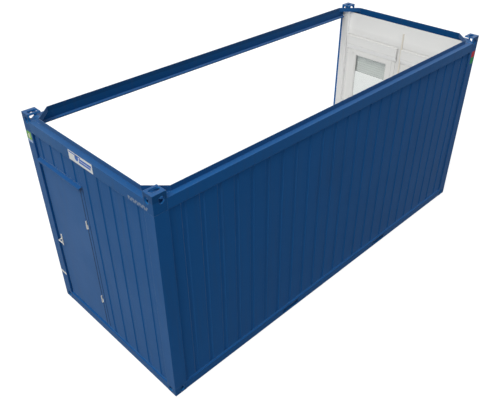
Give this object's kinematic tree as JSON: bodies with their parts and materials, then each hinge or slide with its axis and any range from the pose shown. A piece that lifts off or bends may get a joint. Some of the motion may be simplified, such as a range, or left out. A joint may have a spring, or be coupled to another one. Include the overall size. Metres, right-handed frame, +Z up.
{
  "type": "office container",
  "caption": "Office container: steel frame with corner castings, grooved blue walls on three sides, white lined room, door, windows with shutters, one long side and the roof open.",
  "frame": {"origin": "on the ground under the middle of the container", "axes": "+X along the length from the door end to the window end, +Y across from the closed long side to the open one, +Z up"},
  "size_m": [6.083, 2.435, 2.82],
  "materials": {
    "frame_paint": "satin",
    "wall_paint": "satin",
    "white_board": "matte",
    "floor_sheet": "matte",
    "white_plastic": "satin",
    "clear_glass": "polished",
    "shutter_slats": "satin",
    "cream_plastic": "satin",
    "plated_steel": "satin",
    "handle_metal": "satin",
    "plate_white": "satin"
  },
  "bodies": {
    "container": {"base_castings": "frame_paint", "base_rail_closed_side": "frame_paint", "base_rail_open_side": "frame_paint", "base_rail_door_end": "frame_paint", "base_rail_window_end": "frame_paint", "fork_pockets": "frame_paint", "floor_joists_middle": "frame_paint", "floor_joists_door_end": "frame_paint", "floor_joists_window_end": "frame_paint", "floor_boards": "floor_sheet", "post_door_closed": "frame_paint", "post_door_open": "frame_paint", "post_window_closed": "frame_paint", "post_window_open": "frame_paint", "post_covers": "white_board", "top_castings": "frame_paint", "roof_rail_closed_side": "frame_paint", "roof_rail_open_side": "frame_paint", "roof_rail_door_end": "frame_paint", "roof_rail_window_end": "frame_paint", "roof_corner_plates": "frame_paint", "panel_closed_side": "wall_paint", "lining_closed_side": "white_board", "panel_beside_door": "wall_paint", "lining_beside_door": "white_board", "panel_over_door": "wall_paint", "lining_over_door": "white_board", "panel_window_end": "wall_paint", "lining_window_end": "white_board", "window_frames": "white_plastic", "window_glass": "clear_glass", "shutter_boxes": "white_plastic", "shutter_curtains": "shutter_slats", "cable_duct": "cream_plastic", "door_frame": "frame_paint", "hinge_frame_halves": "plated_steel", "drip_canopy": "frame_paint", "name_plate": "plate_white", "post_strap": "plated_steel"},
    "door": {"door_leaf": "wall_paint", "hinge_leaf_halves": "plated_steel", "handle_plates": "handle_metal"},
    "lever": {"lever_handle": "handle_metal"}
  },
  "joints": [
    {"name": "door_hinge", "type": "hinge", "parent": "container", "child": "door", "pos_m": [-3.0115, 0.202, 0], "axis": [0, 0, 1], "range_deg": [0, 100]},
    {"name": "lever_turn", "type": "hinge", "parent": "door", "child": "lever", "pos_m": [-3.0015, 0.9985, 1.1], "axis": [1, 0, 0], "range_deg": [0, 35], "stiffness_Nm_per_rad": 2, "springref_deg": -11.46}
  ]
}
